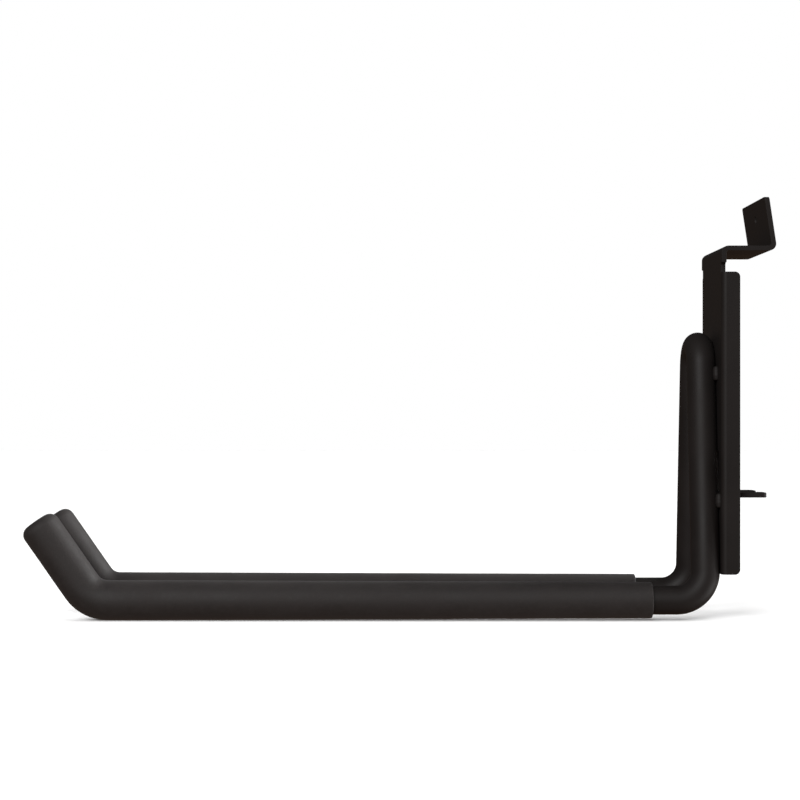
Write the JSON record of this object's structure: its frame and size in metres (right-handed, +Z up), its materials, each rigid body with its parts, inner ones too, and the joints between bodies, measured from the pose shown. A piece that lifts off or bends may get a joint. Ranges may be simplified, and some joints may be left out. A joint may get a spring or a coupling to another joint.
{
  "type": "padded wall panel hook",
  "caption": "Padded double-arm hook for a grooved wall panel: bent steel bracket, welded bent-rod arms with upturned tips, soft sleeves.",
  "frame": {"origin": "middle of the strap's underside in the plane of the wall panel's front face: the face that hangs on the panel", "axes": "+X into the wall panel, so the arms reach towards -X; +Y towards the left arm, seen from the panel; +Z up"},
  "size_m": [0.2318, 0.0454, 0.1303],
  "materials": {
    "bracket_coat": "fine satin black powder coat on sheet steel",
    "rod_coat": "satin black powder coat on round steel bar",
    "sleeve_rubber": "matte dark grey, finely grained"
  },
  "bodies": {
    "root": {"bracket": "bracket_coat", "hook_rod": "rod_coat", "left_sleeve": "sleeve_rubber", "right_sleeve": "sleeve_rubber", "upper_weld_beads": "rod_coat", "lower_weld_beads": "rod_coat"}
  },
  "joints": []
}
